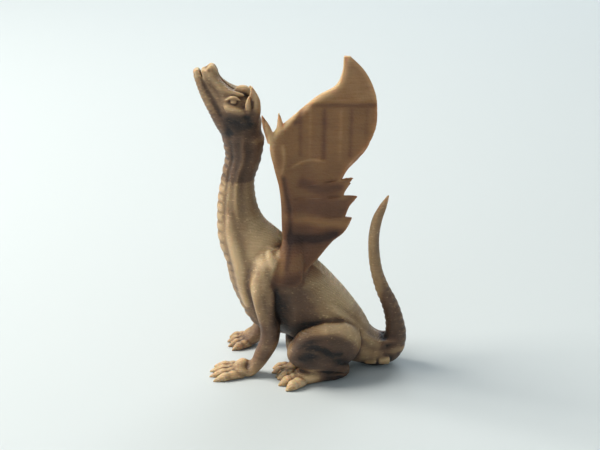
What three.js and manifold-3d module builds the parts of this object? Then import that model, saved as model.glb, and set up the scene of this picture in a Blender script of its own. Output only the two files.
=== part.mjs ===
// Sitting winged dragon, a desktop figurine printed in one piece from translucent sand-coloured plastic.
// Millimetres, +Z up. The dragon faces -X, its near flank is on the -Y side, and it sits on Z = 0.
import * as THREE from "three";
import { mergeVertices } from "three/addons/utils/BufferGeometryUtils.js";
import Module from "manifold-3d";

const wasm = await Module();
wasm.setup();

// ---------- Driving dimensions ----------

const SOLE_CUT = 0.6; // height cut off below the lowest curve, which leaves flat soles
const FLOOR_BLOCK = 400; // edge of the block that cuts the soles flat
const BODY_SIDES = 18; // sides of the trunk's cross section
const LIMB_SIDES = 12; // sides of a limb's cross section
const TOE_SIDES = 8; // sides of a toe's, ear's or claw's cross section
const LIMB_STEPS = 2; // rings for each span between two stations

const WING_HALF_THICKNESS = 0.9; // half the thickness of the wing skin
const WING_SPAR_HALF = 1.9; // half the thickness of the leading edge
const WING_ROOT_HALF = 2.6; // half the thickness where the wing leaves the back
const WING_PLEAT_DEPTH = 0.7; // depth of the pleats pressed in the wing skin
const WING_PLEATS = 2; // pleats between leading and trailing edge
const WING_FADE = 0.12; // share of the chord or span over which the spar and the root thin out
const WING_EDGE_POWER = 8; // how square the wing's section is: 2 would be an ellipse
const WING_EDGE_LEAST = 0.45; // least share of the thickness left at the wing's edges
const WING_ROOT_Y = 9; // distance of the wing root from the middle of the back
const WING_ROOT_X = -5; // place of the wing root along the back
const WING_ROOT_Z = 50; // height of the wing root
const WING_COLUMNS = 5; // faces of the wing skin from its leading to its trailing edge
const WING_ROWS = 2; // rows of the wing skin for each span of its trailing edge

// A station is [x, y, z, half depth, half width]: the centre of one oval cross section of a limb.

const TRUNK = [
    [-24.5, 0, 118, 4.0, 4.0],
    [-25, 0, 113, 9.2, 7.2],
    [-25.4, 0, 104, 7.9, 6.4],
    [-27.7, 0, 95, 7.3, 6.2],
    [-28.5, 0, 86, 8.2, 6.8],
    [-28, 0, 77, 9.6, 7.8],
    [-25.5, 0, 67.5, 12.2, 10],
    [-19.9, 0, 57.9, 15, 13],
    [-13, 0, 47, 18.4, 15.4],
    [-2.5, 0, 37.5, 18.6, 16.4],
    [9, 0, 27.5, 16.8, 15.6],
    [19.5, 0, 18.5, 13.6, 14],
    [27.5, 0, 12, 9.8, 11],
    [35, 0, 8.4, 7, 8],
    [40, 0, 7, 3, 3.5],
];

const BREAST = [
    [-25, 0, 58, 4, 4],
    [-24.8, 0, 50, 7.4, 8.6],
    [-22.2, 0, 41, 7.6, 9.2],
    [-18.6, 0, 31.5, 7.6, 9],
    [-13.6, 0, 24, 6.2, 8],
    [-6, 0, 20, 3, 4],
];

const TAIL = [
    [27, 0, 10, 5, 5],
    [36, 0, 7.6, 7.6, 7],
    [42.3, 0, 9.2, 6.2, 6.2],
    [44.8, 0, 15, 5, 5],
    [44.2, 0, 23, 4.1, 4.1],
    [41.8, 0, 31.5, 3.6, 3.6],
    [38.2, 0, 39.5, 3.1, 3.1],
    [35.4, 0, 48, 2.7, 2.7],
    [34, 0, 57, 2.6, 2.6],
    [33.8, 0, 66, 2.5, 2.5],
    [35.2, 0, 74, 2.3, 2],
    [37.6, 0, 80, 1.7, 1.4],
    [40, 0, 85.5, 0.4, 0.4],
];

const SKULL = [
    [-22, 0, 112, 4, 4],
    [-24.5, 0, 117, 8.4, 7.6],
    [-27.3, 0, 123.5, 8.8, 8.6],
    [-30.2, 0, 129.5, 6.6, 7.6],
    [-33.6, 0, 134, 4.3, 5.6],
    [-36.9, 0, 138.8, 3.2, 4.3],
    [-39.2, 0, 142.4, 3.4, 3.9],
    [-40.5, 0, 144.8, 2.4, 3],
];

const LOWER_JAW = [
    [-28, 0, 113, 4, 4],
    [-32.5, 0, 119, 4.2, 6.2],
    [-37, 0, 126, 3.3, 5],
    [-41.2, 0, 134, 2.7, 4],
    [-44.3, 0, 141.6, 2, 3.2],
    [-45.3, 0, 144.4, 1.2, 2.4],
];

// Ears, horns and cheek spikes: thin leaves standing off the back of the head.
const EARS = [
    [
        [-22, -5, 120, 2.5, 1.6],
        [-20.4, -6.8, 126, 3.2, 1.5],
        [-19.8, -7.4, 132, 2.6, 1.1],
        [-21, -7, 138.5, 0.4, 0.4],
    ],
    [
        [-22, 5, 118, 2.5, 1.6],
        [-20.8, 6.8, 123, 3.2, 1.5],
        [-21.4, 7.4, 128.5, 2.4, 1.1],
        [-23.8, 6.8, 133.8, 0.4, 0.4],
    ],
];

const FRONT_LEGS = {
    near: [
        [-13, -8, 62, 3, 3],
        [-14.8, -12, 56, 5.6, 4.6],
        [-17, -14.2, 48, 5.5, 4.8],
        [-15.8, -15.3, 37, 4.8, 4.5],
        [-13.6, -15.5, 27, 4.6, 4.3],
        [-14.2, -14.8, 19.5, 4.3, 4],
        [-17, -13.2, 12.6, 3.9, 3.7],
        [-19.8, -12.3, 7, 3.2, 3.7],
        [-23.4, -11.8, 3.2, 2.8, 4.4],
        [-28, -11.4, 3.4, 3.2, 5.4],
        [-32, -11.2, 2.2, 1.8, 3.4],
    ],
    far: [
        [-13, 8, 62, 3, 3],
        [-14.8, 12, 56, 5.6, 4.6],
        [-17, 14.8, 48, 5.5, 4.8],
        [-15.8, 17, 37, 4.8, 4.5],
        [-13.6, 18, 27, 4.6, 4.3],
        [-14.2, 18.6, 19.5, 4.3, 4],
        [-17.8, 19, 12, 4.1, 3.8],
        [-21.2, 19.4, 6.4, 4.0, 4.2],
        [-25, 20, 3.4, 3.2, 5.2],
        [-28.5, 20.4, 2.2, 1.8, 3],
    ],
};

const HIND_LEGS = {
    near: [
        [25, -9, 18, 7, 5],
        [19.6, -13.6, 18, 10.6, 7.5],
        [11, -17, 18.8, 10.8, 7.4],
        [3.2, -19, 19, 7.8, 6.4],
        [-0.8, -20, 15.6, 5.2, 5.4],
        [4.5, -19.6, 11.4, 4.6, 4.8],
        [12, -18, 9, 4.6, 4.6],
        [18.5, -16.5, 7, 4.2, 4.2],
        [21, -15.5, 4.2, 2.6, 3],
    ],
    far: [
        [25, 9, 18, 7, 5],
        [19.6, 13.6, 18, 10.6, 7.5],
        [11, 15.5, 18.8, 10.8, 7.4],
        [4, 12, 19, 7.6, 6.4],
        [-0.5, 6, 18, 5.4, 5.4],
        [-2.4, -1.5, 13, 4.4, 4.6],
        [-1.2, -6.5, 7.2, 3.8, 4],
        [0.5, -8.5, 4, 2.6, 3],
    ],
};

const HIND_FEET = {
    near: [
        [20.5, -15, 4, 2.6, 2.6],
        [15.5, -15.6, 4.2, 4.2, 4],
        [8.5, -17.2, 4.4, 4.4, 4.6],
        [1.5, -19, 3.8, 3.8, 5.4],
        [-3, -20, 2.4, 2.2, 3.6],
    ],
    far: [
        [4.5, -8, 3.2, 2.4, 2.4],
        [0.5, -8.6, 3.4, 3.4, 3.6],
        [-3.5, -9.4, 3, 2.8, 4],
        [-6.5, -10, 2, 1.8, 2.6],
    ],
};

// The paws: where the toes start as [x, y], the heading in degrees off -X toward -Y, the angle from the
// first to the last toe, the number of toes, their length and radius, and half the width they start from.
const PAWS = [
    { root: [-28.6, -11.3], heading: 2, spread: 30, toes: 4, length: 14, radius: 2.1, halfWidth: 4.2 },
    { root: [-26, 20.2], heading: 8, spread: 40, toes: 4, length: 9.6, radius: 2.1, halfWidth: 4.2 },
    { root: [-0.6, -19.8], heading: 20, spread: 30, toes: 3, length: 10, radius: 2.5, halfWidth: 3.8 },
    { root: [-5, -9.4], heading: 10, spread: 24, toes: 3, length: 8.6, radius: 1.9, halfWidth: 2.9 },
];

// A toe from the paw to its claw, as [share of its length, height of its middle, radius in toe radii].
const TOE_PROFILE = [
    [-0.2, 0.9, 0.7],
    [0.1, 1.2, 1],
    [0.4, 1.15, 1.1],
    [0.7, 0.8, 0.8],
    [0.85, 0.55, 0.5],
    [1, 0.36, 0.12],
];
const OUTER_TOE_LESS = 0.12; // share by which the outermost toes are shorter than the middle ones

// The near wing in side view, as [x, z]: the leading edge from the back up to the tip.
const WING_LEADING = [
    [-9.1, 45],
    [-8.2, 56.5],
    [-7.9, 66],
    [-8.2, 77],
    [-8.5, 86.5],
    [-9.4, 94],
    [-11.4, 102.5],
    [-13.2, 112.5],
    [-11.6, 119],
    [-7.2, 123],
    [-0.4, 129],
    [7.8, 136],
    [15.4, 140.6],
    [18, 146.5],
    [18.6, 153.5],
];

// The trailing edge as smooth runs from the back up to the tip. A run starts at a notch and ends at
// a spike. "meets" is the stretch of the leading edge that it faces, as shares of the whole edge.
const WING_TRAILING = [
    {
        meets: [0, 0.235],
        edge: [
            [-2.2, 45],
            [2.2, 52],
            [7.6, 58],
            [14.6, 67],
            [19.6, 71.4],
            [23.4, 78.8],
        ],
    },
    {
        meets: [0.237, 0.295],
        edge: [
            [20, 78.8],
            [22.2, 84.4],
            [25.8, 89.2],
        ],
    },
    {
        meets: [0.297, 0.34],
        edge: [
            [19.2, 89.2],
            [20.8, 93.4],
            [23.7, 98],
        ],
    },
    {
        meets: [0.342, 1],
        edge: [
            [17.8, 96.6],
            [21.6, 104.2],
            [26.8, 110],
            [31.4, 116.4],
            [33.4, 125],
            [32.4, 137],
            [27.6, 147],
            [21.4, 153.5],
        ],
    },
];

const WRIST_CLAWS = [
    [
        [-12.2, 114.6, 2],
        [-14.6, 121.6, 1.6],
        [-16.6, 127, 0.3],
    ],
    [
        [-8.8, 118, 1.9],
        [-8.7, 123.6, 1.2],
        [-9.2, 128, 0.3],
    ],
];

// ---------- Geometry functions ----------

// A closed solid from rows of points: each row is one ring, and both ends are closed with a fan.
function solidFromRings(rings, firstPole, lastPole) {
    const sides = rings[0].length;
    const points = [firstPole, ...rings.flat(), lastPole];
    const last = points.length - 1;
    const index = [];
    for (let i = 0; i < sides; i++) {
        const j = (i + 1) % sides;
        index.push(0, 1 + j, 1 + i);
        const base = 1 + (rings.length - 1) * sides;
        index.push(last, base + i, base + j);
        for (let row = 0; row < rings.length - 1; row++) {
            const a = 1 + row * sides;
            const b = a + sides;
            index.push(a + i, a + j, b + j, a + i, b + j, b + i);
        }
    }
    return new wasm.Manifold(
        new wasm.Mesh({
            numProp: 3,
            vertProperties: new Float32Array(points.flatMap((p) => [p.x, p.y, p.z])),
            triVerts: new Uint32Array(index),
        }),
    );
}

function middleOf(ring) {
    const sum = new THREE.Vector3();
    ring.forEach((point) => sum.add(point));
    return sum.divideScalar(ring.length);
}

// An oval section carried along the smooth curve through the stations. Depth lies in the XZ plane
// of the figure where the path allows it, and width across it.
function limb(stations, sides = LIMB_SIDES, stepsPerSpan = LIMB_STEPS) {
    const path = new THREE.CatmullRomCurve3(stations.map(([x, y, z]) => new THREE.Vector3(x, y, z)));
    const sizes = new THREE.CatmullRomCurve3(stations.map(([, , , d, w]) => new THREE.Vector3(d, w, 0)));
    const steps = (stations.length - 1) * stepsPerSpan;
    const rings = [];
    for (let k = 0; k <= steps; k++) {
        const centre = path.getPoint(k / steps);
        const along = path.getTangent(k / steps);
        const size = sizes.getPoint(k / steps);
        const across = new THREE.Vector3(0, 1, 0).addScaledVector(along, -along.y).normalize();
        const upward = new THREE.Vector3().crossVectors(along, across);
        const ring = [];
        for (let i = 0; i < sides; i++) {
            const turn = (2 * Math.PI * i) / sides;
            const point = centre.clone();
            point.addScaledVector(across, size.y * Math.cos(turn));
            point.addScaledVector(upward, size.x * Math.sin(turn));
            ring.push(point);
        }
        rings.push(ring);
    }
    return solidFromRings(rings, path.getPoint(0), path.getPoint(1));
}

// One toe: it rises from the paw to a knuckle, and drops to a claw on the floor.
function toe(x, y, heading, length, radius) {
    const turn = THREE.MathUtils.degToRad(heading);
    const stations = TOE_PROFILE.map(([share, height, girth]) => [
        x - Math.cos(turn) * length * share,
        y - Math.sin(turn) * length * share,
        radius * height,
        radius * girth,
        radius * girth,
    ]);
    return limb(stations, TOE_SIDES, 1);
}

function paw({ root, heading, spread, toes, length, radius, halfWidth }) {
    const angle = THREE.MathUtils.degToRad(heading);
    const solids = [];
    for (let i = 0; i < toes; i++) {
        const share = (2 * i) / (toes - 1) - 1;
        const x = root[0] + Math.sin(angle) * share * halfWidth;
        const y = root[1] - Math.cos(angle) * share * halfWidth;
        const shorter = 1 - OUTER_TOE_LESS * share * share;
        solids.push(toe(x, y, heading + (spread / 2) * share, length * shorter, radius));
    }
    return solids;
}

// Where the wing skin lies: from the side view (x, z) to a point beside the back.
function wingPoint(x, z, offset, place) {
    const out = WING_ROOT_Y + place.lean * (z - WING_ROOT_Z) + offset;
    const wide = WING_ROOT_X + place.scale * (x - WING_ROOT_X);
    const high = WING_ROOT_Z + place.scale * (z - WING_ROOT_Z);
    return new THREE.Vector3(wide + place.shift[0], place.side * out, high + place.shift[1]);
}

// How far the skin stands off its middle surface at a row and at t from leading to trailing edge.
function wingHalf(share, t) {
    const spar = (WING_SPAR_HALF - WING_HALF_THICKNESS) * Math.exp(-((t / WING_FADE) ** 2));
    const root = (WING_ROOT_HALF - WING_HALF_THICKNESS) * Math.exp(-share / WING_FADE);
    const rounded = Math.sqrt(Math.max(0, 1 - (2 * t - 1) ** WING_EDGE_POWER));
    return (WING_HALF_THICKNESS + spar + root) * Math.max(rounded, WING_EDGE_LEAST);
}

// The wing: straight rows from the leading to the trailing edge, given a thickness that is largest
// at the leading edge and at the root, with shallow pleats running from the back to the tip.
function wing(place) {
    const leading = new THREE.CatmullRomCurve3(WING_LEADING.map(([x, z]) => new THREE.Vector3(x, 0, z)));
    const rings = [];
    for (const { meets, edge } of WING_TRAILING) {
        const trailing = new THREE.CatmullRomCurve3(edge.map(([x, z]) => new THREE.Vector3(x, 0, z)));
        const steps = WING_ROWS * (edge.length - 1);
        for (let k = 0; k <= steps; k++) {
            const share = meets[0] + ((meets[1] - meets[0]) * k) / steps;
            const front = leading.getPoint(share);
            const rear = trailing.getPoint(k / steps);
            const outer = [];
            const inner = [];
            for (let i = 0; i <= WING_COLUMNS; i++) {
                const t = i / WING_COLUMNS;
                const { x, z } = front.clone().lerp(rear, t);
                const fading = Math.sin(Math.PI * share);
                const pleat = WING_PLEAT_DEPTH * fading * Math.sin(2 * Math.PI * WING_PLEATS * t);
                const half = wingHalf(share, t);
                outer.push(wingPoint(x, z, pleat + half, place));
                inner.unshift(wingPoint(x, z, pleat - half, place));
            }
            const ring = [...outer, ...inner];
            rings.push(place.side < 0 ? ring : ring.reverse());
        }
    }
    return solidFromRings(rings, middleOf(rings[0]), middleOf(rings[rings.length - 1]));
}

// The hooked claws at the bend of the wing.
function wristClaws(place) {
    return WRIST_CLAWS.map((claw) =>
        limb(
            claw.map(([x, z, radius]) => {
                const point = wingPoint(x, z, 0, place);
                return [point.x, point.y, point.z, radius, radius];
            }),
            TOE_SIDES,
        ),
    );
}

// ---------- Assembly ----------

const NEAR_WING = { side: -1, lean: 0.04, scale: 1, shift: [0, 0] };
const FAR_WING = { side: 1, lean: -0.02, scale: 0.95, shift: [1.2, -6.8] };

const solids = [
    limb(TRUNK, BODY_SIDES),
    limb(BREAST),
    limb(TAIL),
    limb(SKULL),
    limb(LOWER_JAW),
    ...EARS.map((ear) => limb(ear, TOE_SIDES)),
    ...Object.values(FRONT_LEGS).map((leg) => limb(leg)),
    ...Object.values(HIND_LEGS).map((leg) => limb(leg)),
    ...Object.values(HIND_FEET).map((foot) => limb(foot)),
    ...PAWS.flatMap(paw),
    ...[NEAR_WING, FAR_WING].flatMap((place) => [wing(place), ...wristClaws(place)]),
];

const joined = solids.reduce((sum, solid) => sum.add(solid));

const underFloor = new THREE.BoxGeometry(FLOOR_BLOCK, FLOOR_BLOCK, FLOOR_BLOCK);
underFloor.translate(0, 0, SOLE_CUT - FLOOR_BLOCK / 2);
underFloor.deleteAttribute("normal");
underFloor.deleteAttribute("uv");
const block = mergeVertices(underFloor);
const floorBlock = new wasm.Manifold(
    new wasm.Mesh({
        numProp: 3,
        vertProperties: new Float32Array(block.attributes.position.array),
        triVerts: new Uint32Array(block.index.array),
    }),
);

const figure = joined.subtract(floorBlock).getMesh();
const geometry = new THREE.BufferGeometry();
geometry.setAttribute("position", new THREE.BufferAttribute(new Float32Array(figure.vertProperties), 3));
geometry.setIndex(new THREE.BufferAttribute(new Uint32Array(figure.triVerts), 1));

// The origin is the middle of the footprint box, on the floor.
geometry.computeBoundingBox();
const box = geometry.boundingBox;
geometry.translate(-(box.min.x + box.max.x) / 2, -(box.min.y + box.max.y) / 2, -box.min.z);
geometry.computeVertexNormals();

const dragon = new THREE.Mesh(
    geometry,
    new THREE.MeshStandardMaterial({ color: "#8a6a4a", roughness: 0.45, metalness: 0 }),
);
dragon.name = "dragon";

const figurine = new THREE.Group();
figurine.add(dragon);
export default figurine;
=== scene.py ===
import math

import bmesh
import bpy
import numpy as np
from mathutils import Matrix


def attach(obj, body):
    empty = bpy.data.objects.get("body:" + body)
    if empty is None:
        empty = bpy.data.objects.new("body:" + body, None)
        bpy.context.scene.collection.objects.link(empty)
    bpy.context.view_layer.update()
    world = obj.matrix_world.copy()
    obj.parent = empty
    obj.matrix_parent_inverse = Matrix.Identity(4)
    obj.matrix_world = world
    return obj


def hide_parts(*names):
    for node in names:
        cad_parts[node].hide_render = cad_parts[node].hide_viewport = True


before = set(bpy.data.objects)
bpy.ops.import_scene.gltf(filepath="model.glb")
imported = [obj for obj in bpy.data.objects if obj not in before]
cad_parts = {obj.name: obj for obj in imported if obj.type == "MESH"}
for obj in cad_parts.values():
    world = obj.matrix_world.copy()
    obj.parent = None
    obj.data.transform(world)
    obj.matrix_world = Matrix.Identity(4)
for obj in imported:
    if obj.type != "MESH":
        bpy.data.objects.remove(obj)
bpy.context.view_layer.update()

import openvdb
from mathutils import Vector

# ---------- Camera ----------
# A long lens stands a little above the figurine, square to its near flank, and is aimed at the
# middle of its height.
AIM = Vector((-0.00165, 0.0007, 0.0704))
CAMERA_DISTANCE = 0.62
CAMERA_RISE = math.radians(22)
CAMERA_LENS_MM = 81.7
SENSOR_MM = 36
CAMERA_NEAREST = 0.01

camera = bpy.data.objects.new("camera", bpy.data.cameras.new("camera"))
bpy.context.scene.collection.objects.link(camera)
camera.data.lens = CAMERA_LENS_MM
camera.data.sensor_width = SENSOR_MM
camera.data.clip_start = CAMERA_NEAREST
to_camera = Vector((0, -math.cos(CAMERA_RISE), math.sin(CAMERA_RISE)))
camera.location = AIM + CAMERA_DISTANCE * to_camera
camera.rotation_mode = "QUATERNION"
camera.rotation_quaternion = (-to_camera).to_track_quat("-Z", "Y")
bpy.context.scene.camera = camera
bpy.context.scene.view_settings.view_transform = "Standard"

# ---------- Studio ----------
# The figurine stands on a pale matte paper sweep, a round floor that turns up into a wall all round.
# A broad soft light stands to its left, a second one behind it, and a weak one over the camera.
SWEEP_FLOOR_RINGS = [0.002, 0.4, 1.0]
SWEEP_FLOOR_RADIUS = 1.8
SWEEP_BEND_RADIUS = 0.7
SWEEP_BEND_STEPS = 16
SWEEP_WALL_HEIGHT = 2.2
SWEEP_SIDES = 96
PAPER = "#D9E0E2"


def linear_colour(code):
    """The linear RGBA of an sRGB hex colour."""
    part = np.array([int(code[i:i + 2], 16) / 255 for i in (1, 3, 5)])
    line = np.where(part <= 0.04045, part / 12.92, ((part + 0.055) / 1.055) ** 2.4)
    return (*line.tolist(), 1.0)


def add_node(tree, kind, settings=None, **inputs):
    """One node of a kind, with its settings, and each input given a value or the socket that feeds it.
    An input goes by its label, with underscores for spaces, or by an underscore and its number."""
    node = tree.nodes.new(kind)
    for name, value in (settings or {}).items():
        setattr(node, name, value)
    for name, value in inputs.items():
        key = int(name[1:]) if name[0] == "_" and name[1:].isdigit() else name.replace("_", " ")
        if isinstance(value, bpy.types.NodeSocket):
            tree.links.new(value, node.inputs[key])
        else:
            node.inputs[key].default_value = value
    return node


def grid_mesh(name, points, wrap=False):
    """A mesh of quads on a grid of points, rows by columns. With wrap, the last column meets the
    first."""
    rows, columns = points.shape[:2]
    index = np.arange(rows * columns).reshape(rows, columns)
    right = np.roll(index, -1, axis=1) if wrap else index[:, 1:]
    left = index if wrap else index[:, :-1]
    quads = np.stack([left[:-1], right[:-1], right[1:], left[1:]], axis=-1).reshape(-1, 4)
    mesh = bpy.data.meshes.new(name)
    mesh.from_pydata(points.reshape(-1, 3), [], quads)
    mesh.shade_smooth()
    return mesh


def sweep_points():
    """Rows of circles: the radius grows on the flat floor, follows a quarter round up, and then
    stays while the height goes on up the wall."""
    bend = np.linspace(0, math.pi / 2, SWEEP_BEND_STEPS)
    bend_radius = SWEEP_FLOOR_RADIUS + SWEEP_BEND_RADIUS * np.sin(bend)
    bend_height = SWEEP_BEND_RADIUS * (1 - np.cos(bend))
    radius = np.concatenate([SWEEP_FLOOR_RINGS, bend_radius, bend_radius[-1:]])
    height = np.concatenate([np.zeros(len(SWEEP_FLOOR_RINGS)), bend_height, [SWEEP_WALL_HEIGHT]])
    turn = np.linspace(0, 2 * math.pi, SWEEP_SIDES, endpoint=False)
    return np.stack(
        [
            radius[:, None] * np.cos(turn),
            radius[:, None] * np.sin(turn),
            np.repeat(height[:, None], turn.size, axis=1),
        ],
        axis=-1,
    )


sweep = bpy.data.objects.new("sweep", grid_mesh("sweep", sweep_points(), wrap=True))
bpy.context.scene.collection.objects.link(sweep)

# Uncoated background paper, which scatters light evenly and hardly shines.
paper = bpy.data.materials.new("sweep_paper_matte")
paper.use_nodes = True
paper.node_tree.nodes.clear()
sheet = add_node(
    paper.node_tree,
    "ShaderNodeBsdfPrincipled",
    Base_Color=linear_colour(PAPER),
    Roughness=0.9,
    IOR=1.45,
)
add_node(paper.node_tree, "ShaderNodeOutputMaterial", Surface=sheet.outputs[0])
sweep.data.materials.append(paper)


def soft_light(name, place, size, watts, colour):
    """A square area light of a size in metres at a place, turned to the middle of the figurine."""
    lamp = bpy.data.objects.new(name, bpy.data.lights.new(name, "AREA"))
    bpy.context.scene.collection.objects.link(lamp)
    lamp.data.size = size
    lamp.data.energy = watts
    lamp.data.color = linear_colour(colour)[:3]
    lamp.location = place
    lamp.rotation_mode = "QUATERNION"
    lamp.rotation_quaternion = (AIM - Vector(place)).to_track_quat("-Z", "Y")


ROOM_COLOUR = "#E9F1F5"
ROOM_STRENGTH = 0.3
soft_light("key", place=(-0.95, 0.15, 1.05), size=0.7, watts=21, colour="#FFFAF0")
soft_light("back", place=(0.3, 1.3, 1.0), size=1.2, watts=9, colour="#F4FAFF")
soft_light("fill", place=(-0.7, -1.2, 0.9), size=1.0, watts=1.2, colour="#EEF4FF")
world = bpy.data.worlds.new("room")
bpy.context.scene.world = world
world.use_nodes = True
room = world.node_tree.nodes["Background"]
room.inputs["Color"].default_value = linear_colour(ROOM_COLOUR)
room.inputs["Strength"].default_value = ROOM_STRENGTH

# ---------- Body: neck, trunk, breast and tail ----------
# The whole dragon is one print of see-through brown plastic, with no seams between its limbs. Each part
# is drawn as a closed skin and melted into one grid of distances. The trunk runs from the nape to the
# tail's root, and its belly side carries a row of broad plates.
GRID_MM = 0.42
GRID_LOW = np.array([-53.0, -33.5, -4.0])
GRID_SHAPE = (260, 160, 384)
# Distances are worked out as far as this from a skin, and are very far beyond that.
BAND_CELLS = 9
BAND_MM = BAND_CELLS * GRID_MM
BAND_EDGE = 0.98 * BAND_MM
VERY_FAR = 99.0
figure = np.full(GRID_SHAPE, VERY_FAR, np.float32)
# Each station is x, y, z of the middle line, then half the depth and half the width, in mm.
TRUNK = [
    (-24.5, 0, 118, 4, 4),
    (-25, 0, 113, 9.2, 7.2),
    (-25.4, 0, 104, 7.9, 6.4),
    (-27.7, 0, 95, 7.3, 6.2),
    (-28.5, 0, 86, 8.2, 6.8),
    (-28, 0, 77, 9.6, 7.8),
    (-25.5, 0, 67.5, 12.2, 10),
    (-19.9, 0, 57.9, 15, 13),
    (-13, 0, 47, 18.4, 15.4),
    (-2.5, 0, 37.5, 18.6, 16.4),
    (9, 0, 27.5, 16.8, 15.6),
    (19.5, 0, 18.5, 13.6, 14),
    (27.5, 0, 12, 9.8, 11),
    (35, 0, 8.4, 7, 8),
    (40, 0, 7, 3, 3.5),
]
BREAST = [
    (-25, 0, 58, 4, 4),
    (-24.8, 0, 50, 7.4, 8.6),
    (-22.2, 0, 41, 7.6, 9.2),
    (-18.6, 0, 31.5, 7.6, 9),
    (-13.6, 0, 24, 6.2, 8),
    (-6, 0, 20, 3, 4),
]
TAIL = [
    (27, 0, 10, 5, 5),
    (36, 0, 7.6, 7.6, 7),
    (42.3, 0, 9.2, 6.2, 6.2),
    (44.8, 0, 15, 5, 5),
    (44.2, 0, 23, 4.1, 4.1),
    (41.8, 0, 31.5, 3.6, 3.6),
    (38.2, 0, 39.5, 3.1, 3.1),
    (35.4, 0, 48, 2.7, 2.7),
    (34, 0, 57, 2.6, 2.6),
    (33.8, 0, 66, 2.5, 2.5),
    (35.2, 0, 74, 2.3, 2),
    (37.6, 0, 80, 1.7, 1.4),
    (40, 0, 85.5, 0.4, 0.4),
]
# A turn round an oval is 0 at its far side, a quarter at the spine, and this at the belly.
BELLY_TURN = 1.5 * math.pi
# Bands that run down the trunk: how far round from the belly line each lies and how wide it is, in
# radians, how far it stands out in mm, and the lengths from the nape where it has died out and is full.
TRUNK_BANDS = [
    (0.92, 0.12, -0.35, 84, 60),
    (1.55, 0.13, 0.55, 52, 26),
    (1.9, 0.24, -0.35, 56, 30),
]
# How far apart the plates and knobs are, and how high they stand, in mm. A plate's own height runs
# from 0 to 1, and PLATE_LEVEL of it lies even with the skin.
TRUNK_PLATE_MM, TRUNK_PLATE_RISE = 3.9, 0.6
BREAST_PLATE_MM, BREAST_PLATE_RISE = 4.3, 0.9
TAIL_PLATE_MM, TAIL_PLATE_RISE = 3.4, 0.35
SPINE_KNOB_MM, SPINE_KNOB_RISE = 3.4, 0.35
TAIL_KNOB_MM, TAIL_KNOB_RISE = 3.2, 0.2
PLATE_LEVEL = 0.6


def smooth_path(stations, per_span):
    """Rows of values on a smooth curve through the stations. Each span is a cubic between two stations,
    and its end slopes come from the stations before and after, weighed by the square roots of the
    gaps between them."""
    p = np.asarray(stations, float)
    p = np.vstack([2 * p[0] - p[1], p, 2 * p[-1] - p[-2]])
    gap = np.sqrt(np.linalg.norm(np.diff(p, axis=0), axis=1))[:, None]
    mid = np.where(gap[1:-1] < 1e-4, 1.0, gap[1:-1])
    before = np.where(gap[:-2] < 1e-4, mid, gap[:-2])
    after = np.where(gap[2:] < 1e-4, mid, gap[2:])
    a, b, c, d = p[:-3], p[1:-2], p[2:-1], p[3:]
    leave = ((b - a) / before - (c - a) / (before + mid) + (c - b) / mid) * mid
    meet = ((c - b) / mid - (d - b) / (mid + after) + (d - c) / after) * mid
    t = (np.arange(per_span) / per_span)[None, :, None]
    b, c, leave, meet = (v[:, None, :] for v in (b, c, leave, meet))
    rows = (
        b * (2 * t**3 - 3 * t**2 + 1)
        + c * (3 * t**2 - 2 * t**3)
        + leave * (t**3 - 2 * t**2 + t)
        + meet * (t**3 - t**2)
    )
    return np.vstack([rows.reshape(-1, p.shape[1]), p[-2]])


def unit(vectors):
    """Each vector divided by its length."""
    return vectors / np.maximum(np.linalg.norm(vectors, axis=-1, keepdims=True), 1e-9)


def closed_skin(rings):
    """Points, quads and triangles of a closed skin: rings of points, and a fan to a point at each
    end."""
    rows, sides = rings.shape[:2]
    index = np.arange(rows * sides).reshape(rows, sides)
    right = np.roll(index, -1, axis=1)
    quads = np.stack([index[:-1], right[:-1], right[1:], index[1:]], axis=-1).reshape(-1, 4)
    first = np.full(sides, rows * sides)
    last = first + 1
    fans = np.concatenate(
        [
            np.stack([first, right[0], index[0]], axis=-1),
            np.stack([last, index[-1], right[-1]], axis=-1),
        ]
    )
    ends = [rings[0].mean(axis=0), rings[-1].mean(axis=0)]
    return np.vstack([rings.reshape(-1, 3), ends]), quads, fans


def limb(stations, sides=40, per_span=8, relief=None):
    """A closed skin along a smooth path. At each step an oval stands square to the path, as wide on the
    level and as deep upward as the stations say, and relief(length, turn) moves it out in mm."""
    stations = np.asarray(stations, float)
    middle = smooth_path(stations[:, :3], per_span)
    size = smooth_path(stations[:, 3:], per_span)
    along = unit(np.gradient(middle, axis=0))
    across = unit(np.array([0, 1.0, 0]) - along * along[:, 1:2])
    upward = np.cross(along, across)
    turn = (2 * math.pi / sides) * np.arange(sides)[None, :]
    step = np.linalg.norm(np.diff(middle, axis=0), axis=1)
    length = np.concatenate([[0], np.cumsum(step)])[:, None]
    rise = relief(length, turn) if relief else 0.0
    wide = (np.maximum(size[:, 1:2], 0.05) + rise) * np.cos(turn)
    deep = (np.maximum(size[:, 0:1], 0.05) + rise) * np.sin(turn)
    rings = middle[:, None] + across[:, None] * wide[..., None] + upward[:, None] * deep[..., None]
    return closed_skin(rings)


def distances(skin):
    """The part of the grid round a closed skin, and the distances to the skin in it, negative
    inside."""
    points, quads, fans = skin
    transform = openvdb.createLinearTransform(GRID_MM)
    surface = openvdb.FloatGrid.createLevelSetFromPolygons(
        (points - GRID_LOW).astype(np.float32),
        triangles=fans.astype(np.uint32),
        quads=quads.astype(np.uint32),
        transform=transform,
        halfWidth=float(BAND_CELLS),
    )
    low, high = (np.array(corner) for corner in surface.evalActiveVoxelBoundingBox())
    low = np.maximum(low, 0)
    high = np.minimum(high, np.array(GRID_SHAPE) - 1)
    block = np.empty(high - low + 1, np.float32)
    surface.copyToArray(block, ijk=tuple(int(v) for v in low))
    block[block > BAND_EDGE] = VERY_FAR
    return tuple(slice(a, b + 1) for a, b in zip(low, high)), block


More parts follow.
